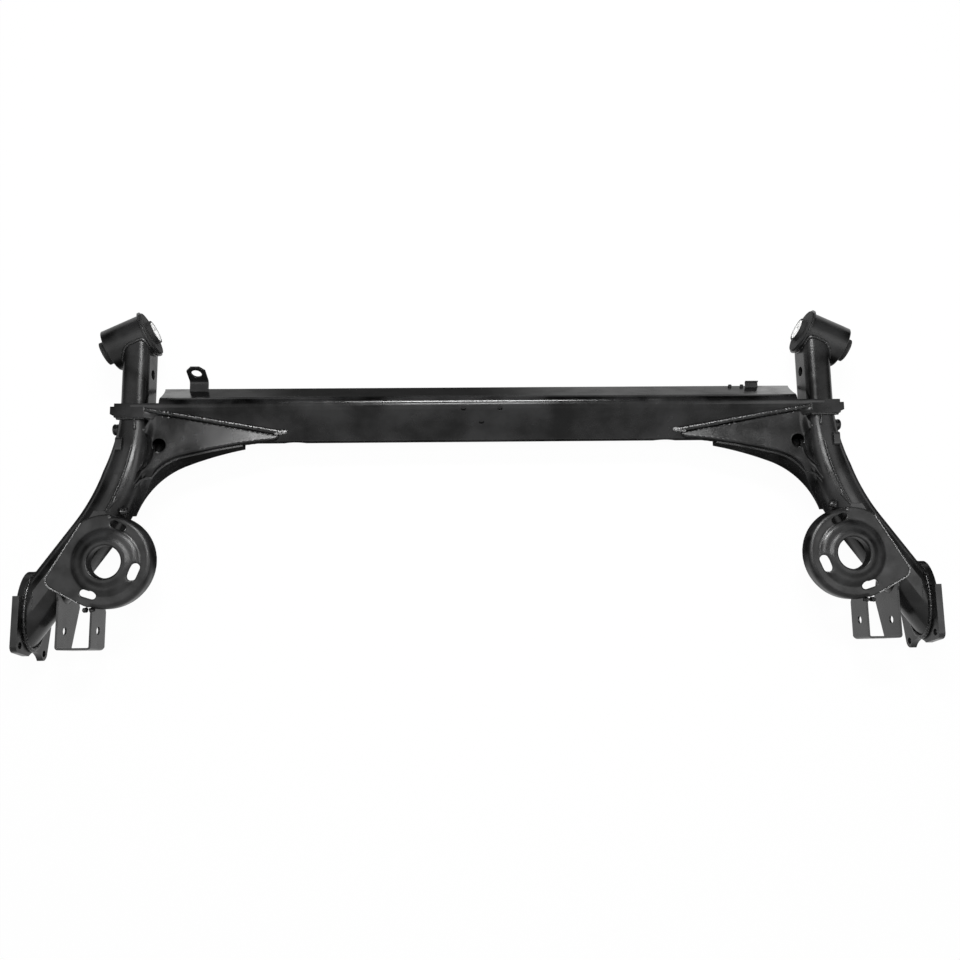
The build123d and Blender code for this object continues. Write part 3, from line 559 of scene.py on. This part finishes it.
for side, sign in sides.items():
    outline = []
    for step in range(edge_points):
        along = edge_front - edge_length * step / (edge_points - 1)
        edge_x, edge_y = on_circle((0.0, 0.0), plate_reach, plate_turn)
        outline.append((edge_x - along * sin(radians(plate_turn)), edge_y + along * cos(radians(plate_turn))))
    for step in range(1, corner_steps + 1):
        corner_angle = plate_turn - plate_corner_turn * step / corner_steps
        outline.append(on_circle(plate_corner, plate_corner_radius, corner_angle))
    start = outline[-1]
    last = on_circle(seat_rim_centre, seat_rim_radius, plate_turn - plate_corner_turn)
    for step in range(1, last_steps):
        part = step / last_steps
        outline.append((start[0] + (last[0] - start[0]) * part, start[1] + (last[1] - start[1]) * part))
    seam = [mirrored(sign, (seat_centre[0] + x, seat_centre[1] + y, plate_rise)) for x, y in outline]
    weld_bead(f"{side}_seat_weld_highlight", seam, seat_bead, unevenness=0.0006, ripple=0.003, paint=spatter_and_highlight_paint)

# Tack welds: short lumps of weld metal, one beside the arm in front of each spring seat and two under the
# seat's rear edge, of which the first is on the damper bracket's inner wall and the second 3 mm beside it.
seat_tack_first = (0.5520, -0.0475, 0.0270)
seat_tack_last = (0.5620, -0.0500, 0.0290)
seat_tack_radius = 0.0052
bracket_tack_first = (0.0, -0.1985, 0.0300)
bracket_tack_last = (0.006, -0.1995, 0.0290)
bracket_tack_places = (0.596, 0.606)
bracket_tack_radius = 0.0036
for side, sign in sides.items():
    tack = straight(mirrored(sign, seat_tack_first), mirrored(sign, seat_tack_last), 6)
    weld_bead(f"{side}_seat_tack", tack, seat_tack_radius, unevenness=0.0030, ripple=0.005)
    for number, tack_x in enumerate(bracket_tack_places):
        first = (tack_x + bracket_tack_first[0], *bracket_tack_first[1:])
        last = (tack_x + bracket_tack_last[0], *bracket_tack_last[1:])
        tack = straight(mirrored(sign, first), mirrored(sign, last), 5)
        weld_bead(f"{side}_bracket_tack_{number}", tack, bracket_tack_radius, unevenness=0.0030, ripple=0.004)

# Floor: plain and white to the camera, with a faint shadow that is deepest under the beam's middle.
# Mirrored in the paint it is bright behind the axle and beside the bush eyes, dimmer in front of the beam's
# right half and left end, and dark elsewhere, as between dark cards.
floor_size = 30.0
floor_white = (0.90, 0.90, 0.90, 1.0)
seen_white = 0.97
rear_span = (-0.19, -0.13)
rear_level = 0.85
dark_level = 0.04
front_span = (0.13, 0.17)
right_span = (-0.02, 0.22)
right_levels = (0.02, 0.30)
left_span = (-0.42, -0.30)
left_level = 0.12
eye_front_span = (0.11, 0.15)
eye_side_span = (0.47, 0.495)
eye_level = 0.5
shade_rear_span = (0.070, 0.105)
shade_front_span = (0.138, 0.165)
shade_middle_span = (0.06, 0.16)
shade_middle = 0.75
shade_end_span = (0.38, 0.48)
shade_length = 0.22
bpy.ops.mesh.primitive_plane_add(size=floor_size, location=(0, 0, 0))
floor = bpy.context.object
floor.name = "floor"
floor_paint = bpy.data.materials.new("floor_white")
floor_recipe = Recipe(floor_paint)
floor_shader = floor_recipe.nodes["Principled BSDF"]
floor_shader.inputs["Base Color"].default_value = floor_white
floor_shader.inputs["Roughness"].default_value = 0.9
floor_x = floor_recipe.axis("X")
floor_y = floor_recipe.axis("Y")
aside = floor_recipe.combine("ABSOLUTE", floor_x)


def fade(source, span, first, last):
    """A value that changes softly from one line on the floor to another."""
    return floor_recipe.between(source, *span, first, last, smooth=True)


behind = fade(floor_y, rear_span, rear_level, dark_level)
beam_ends = floor_recipe.combine(
    "ADD", fade(floor_x, right_span, *right_levels), fade(floor_x, left_span, left_level, 0.0),
)
in_front = floor_recipe.combine("MULTIPLY", fade(floor_y, front_span, 0.0, 1.0), beam_ends)
by_eyes = floor_recipe.between(aside, *eye_side_span, 0.0, eye_level)
by_eyes = floor_recipe.combine("MULTIPLY", fade(floor_y, eye_front_span, 0.0, 1.0), by_eyes)
mirror_level = floor_recipe.combine("ADD", floor_recipe.combine("ADD", behind, in_front), by_eyes)
mirror_level = floor_recipe.combine("MINIMUM", mirror_level, 1.0)
under_beam = floor_recipe.combine(
    "MULTIPLY", fade(floor_y, shade_rear_span, 0.0, 1.0), fade(floor_y, shade_front_span, 1.0, 0.0),
)
shade_level = floor_recipe.combine(
    "ADD", fade(aside, shade_middle_span, shade_middle, 0.0), fade(aside, shade_end_span, shade_length, 0.0),
)
shade = floor_recipe.combine("MULTIPLY", under_beam, shade_level)
light_path = floor_recipe.nodes.new("ShaderNodeLightPath")
seen_in_paint = light_path.outputs["Is Glossy Ray"]
seen_plainly = floor_recipe.combine("SUBTRACT", 1.0, seen_in_paint)
level = floor_recipe.combine("MULTIPLY", seen_in_paint, mirror_level)
level = floor_recipe.combine("ADD", level, seen_plainly)
level = floor_recipe.combine("MULTIPLY", level, floor_recipe.combine("SUBTRACT", 1.0, shade))
glow = floor_recipe.nodes.new("ShaderNodeEmission")
floor_recipe.put(level, glow.inputs["Strength"])
glowing = floor_recipe.combine("MULTIPLY", light_path.outputs["Is Camera Ray"], seen_white)
glowing = floor_recipe.combine("MAXIMUM", glowing, seen_in_paint)
lit_and_glowing = floor_recipe.nodes.new("ShaderNodeMixShader")
floor_recipe.put(glowing, lit_and_glowing.inputs["Fac"])
floor_recipe.put(floor_shader.outputs["BSDF"], lit_and_glowing.inputs[1])
floor_recipe.put(glow.outputs["Emission"], lit_and_glowing.inputs[2])
floor_recipe.put(lit_and_glowing.outputs["Shader"], floor_recipe.nodes["Material Output"].inputs["Surface"])
floor.data.materials.append(floor_paint)

# Light: a white room, to the camera. It lights the axle softly, most from overhead and behind, least from
# the front. One narrow lamp in front draws the ridge, one hangs overhead and one hangs on each side.
ceiling_span = (0.15, 0.90)
ceiling_levels = (0.08, 0.60)
front_wall_span = (0.08, 0.38)
front_wall_dim = 0.15
rear_wall_span = (-0.50, -0.95)
rear_wall_level = 0.45
beam_middle = (0, 0.1, 0)
axle_middle = (0, 0, 0)
world = bpy.data.worlds.new("room")
bpy.context.scene.world = world
room_recipe = Recipe(world, place="Generated")
ceiling = room_recipe.between(room_recipe.axis("Z"), *ceiling_span, *ceiling_levels)
toward_front = room_recipe.axis("Y")
front_wall = room_recipe.between(toward_front, *front_wall_span, 1.0, front_wall_dim)
rear_wall = room_recipe.between(toward_front, *rear_wall_span, 0.0, rear_wall_level)
room_level = room_recipe.combine("MULTIPLY", ceiling, front_wall)
room_level = room_recipe.combine("ADD", room_level, rear_wall)
room_path = room_recipe.nodes.new("ShaderNodeLightPath")
room_level = room_recipe.combine("MAXIMUM", room_level, room_path.outputs["Is Camera Ray"])
room = room_recipe.nodes["Background"]
room.inputs["Color"].default_value = (1.0, 1.0, 1.0, 1.0)
room_recipe.put(room_level, room.inputs["Strength"])


def soft_lamp(name, place, aim, width, height, power):
    """A rectangular soft box that looks at a point."""
    bpy.ops.object.light_add(type="AREA", location=place)
    lamp = bpy.context.object
    lamp.name = name
    lamp.data.shape = "RECTANGLE"
    lamp.data.size = width
    lamp.data.size_y = height
    lamp.data.energy = power
    lamp.rotation_euler = (Vector(aim) - Vector(place)).to_track_quat("-Z", "Y").to_euler()


soft_lamp("front_lamp", place=(0.0, 0.90, 1.45), aim=beam_middle, width=0.7, height=0.18, power=24)
soft_lamp("overhead_lamp", place=(0.0, 0.15, 1.65), aim=beam_middle, width=0.5, height=0.3, power=7)
soft_lamp("left_lamp", place=(-1.35, -0.2, 1.75), aim=axle_middle, width=1.2, height=0.8, power=3)
soft_lamp("right_lamp", place=(1.35, -0.2, 1.75), aim=axle_middle, width=1.2, height=0.8, power=5)

# Camera: above the axle, a little behind it and to the left, as in the photograph.
# Its lens, height and tilt come from pairs of like points on both sides of the axle.
lens_mm = 31.92
sensor_mm = 36.0
camera_tilt = 7.72
camera_roll = 0.53
camera_distance = 1.3718
camera_x = -0.0415
camera_aim = Vector((-0.0032, -0.0006, 0.0684))
bpy.ops.object.camera_add()
camera = bpy.context.object
camera.data.lens = lens_mm
camera.data.sensor_width = sensor_mm
tilt = radians(camera_tilt)
camera_place = camera_aim + Vector((camera_x, -camera_distance * sin(tilt), camera_distance * cos(tilt)))
view_back = (camera_place - camera_aim).normalized()
view_up = Vector((0, cos(tilt), sin(tilt)))
view_right = view_up.cross(view_back).normalized()
view_up = view_back.cross(view_right)
turn = Matrix((view_right, view_up, view_back)).transposed().to_4x4()
roll = Matrix.Rotation(-radians(camera_roll), 4, "Z")
camera.matrix_world = Matrix.Translation(camera_place) @ turn @ roll
bpy.context.scene.camera = camera
bpy.context.scene.view_settings.view_transform = "Standard"
